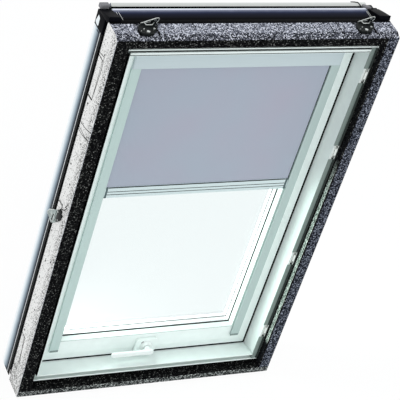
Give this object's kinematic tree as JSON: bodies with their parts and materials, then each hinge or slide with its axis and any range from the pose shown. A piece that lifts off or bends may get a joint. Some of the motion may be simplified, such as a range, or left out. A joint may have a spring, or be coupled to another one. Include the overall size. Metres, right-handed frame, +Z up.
{
  "type": "skylight window blind",
  "caption": "Roof window with an insulation collar, grooved frame, top-hung glazed sash and a roller blind that runs in side rails.",
  "frame": {"origin": "middle of the base: halfway across the width and the depth, on the plane that the foam collar stands on", "axes": "+Z up the window, +Y from the room towards the weather side, +X to the right seen from the room"},
  "size_m": [0.823, 0.155, 1.2857],
  "materials": {
    "foam": "moulded bead foam, matt",
    "pvc": "white, satin",
    "liner": "matt",
    "clip_plastic": "matt",
    "rubber": "matt black",
    "grey_aluminium": "satin",
    "dark_aluminium": "dark blue-grey coating",
    "steel": "dark, satin",
    "pale_steel": "zinc plated",
    "glass": "clear",
    "rail_aluminium": "pale coating, satin",
    "cassette_aluminium": "pale coating, satin",
    "bar_aluminium": "satin anodised",
    "handle_plastic": "white, glossy",
    "cloth": "plain weave, matt, coated back"
  },
  "bodies": {
    "frame": {"insulation_top_left": "foam", "insulation_top_right": "foam", "insulation_bottom_right": "foam", "insulation_bottom_left": "foam", "frame_head": "pvc", "frame_sill": "pvc", "frame_jamb_left": "pvc", "frame_jamb_right": "pvc", "groove_liner": "liner", "lining_clip_1": "clip_plastic", "lining_clip_2": "clip_plastic", "lining_clip_3": "clip_plastic", "lining_clip_4": "clip_plastic", "perimeter_gasket": "rubber", "cover_right": "grey_aluminium", "cover_left": "grey_aluminium", "cover_sill": "grey_aluminium", "hood": "dark_aluminium", "hood_cap_right": "dark_aluminium", "hood_cap_left": "dark_aluminium", "bracket_top_right": "steel", "bracket_top_left": "steel", "bracket_side_right": "pale_steel", "bracket_side_left": "pale_steel", "hinge_plate_left": "pale_steel", "hinge_plate_right": "pale_steel", "striker_left": "pale_steel", "striker_right": "pale_steel"},
    "sash": {"sash_head": "pvc", "sash_sill": "pvc", "sash_stile_left": "pvc", "sash_stile_right": "pvc", "sash_seal": "rubber", "glazing_gasket": "rubber", "glass_inner": "glass", "glass_spacer": "grey_aluminium", "glass_outer": "glass", "sash_cover_head": "dark_aluminium", "sash_cover_sill": "dark_aluminium", "sash_cover_left": "dark_aluminium", "sash_cover_right": "dark_aluminium", "hinge_arm_left": "pale_steel", "hinge_arm_right": "pale_steel", "handle_rose": "handle_plastic", "lock_gearbox": "steel", "cassette_housing": "cassette_aluminium", "cassette_cap_right": "handle_plastic", "cassette_cap_left": "handle_plastic", "rail_right": "rail_aluminium", "rail_left": "rail_aluminium", "roller_spring": "steel"},
    "handle": {"handle_lever": "handle_plastic", "handle_spindle": "steel"},
    "lock_rod_left": {"lock_rod_left": "pale_steel"},
    "lock_rod_right": {"lock_rod_right": "pale_steel"},
    "blind_bar": {"pull_bar": "bar_aluminium", "blind_fabric": "cloth"},
    "blind_roller": {"roller_tube": "grey_aluminium", "fabric_roll": "cloth"}
  },
  "joints": [
    {"name": "sash_hinge", "type": "hinge", "parent": "frame", "child": "sash", "pos_m": [0, 0.0465, 1.24], "axis": [1, 0, 0], "range_deg": [0, 45]},
    {"name": "handle_turn", "type": "hinge", "parent": "sash", "child": "handle", "pos_m": [0, -0.0375, 0.0929], "axis": [0, 1, 0], "range_deg": [0, 90]},
    {"name": "lock_rod_left_slide", "type": "slide", "parent": "sash", "child": "lock_rod_left", "axis": [1, 0, 0], "range_m": [0, 0.019]},
    {"name": "lock_rod_right_slide", "type": "slide", "parent": "sash", "child": "lock_rod_right", "axis": [-1, 0, 0], "range_m": [0, 0.019]},
    {"name": "bar_slide", "type": "slide", "parent": "sash", "child": "blind_bar", "axis": [0, 0, 1], "range_m": [-0.538, 0.396], "deforming": ["blind_fabric"]},
    {"name": "roller_turn", "type": "hinge", "parent": "sash", "child": "blind_roller", "pos_m": [0, -0.0158, 1.186], "axis": [1, 0, 0], "range_deg": [-3100, 2290]}
  ],
  "couplings": [
    {"joint": "lock_rod_left_slide", "follows": "handle_turn", "m_per_rad": 0.011459},
    {"joint": "lock_rod_right_slide", "follows": "handle_turn", "m_per_rad": 0.011459},
    {"joint": "roller_turn", "follows": "bar_slide", "rad_per_m": 100}
  ]
}
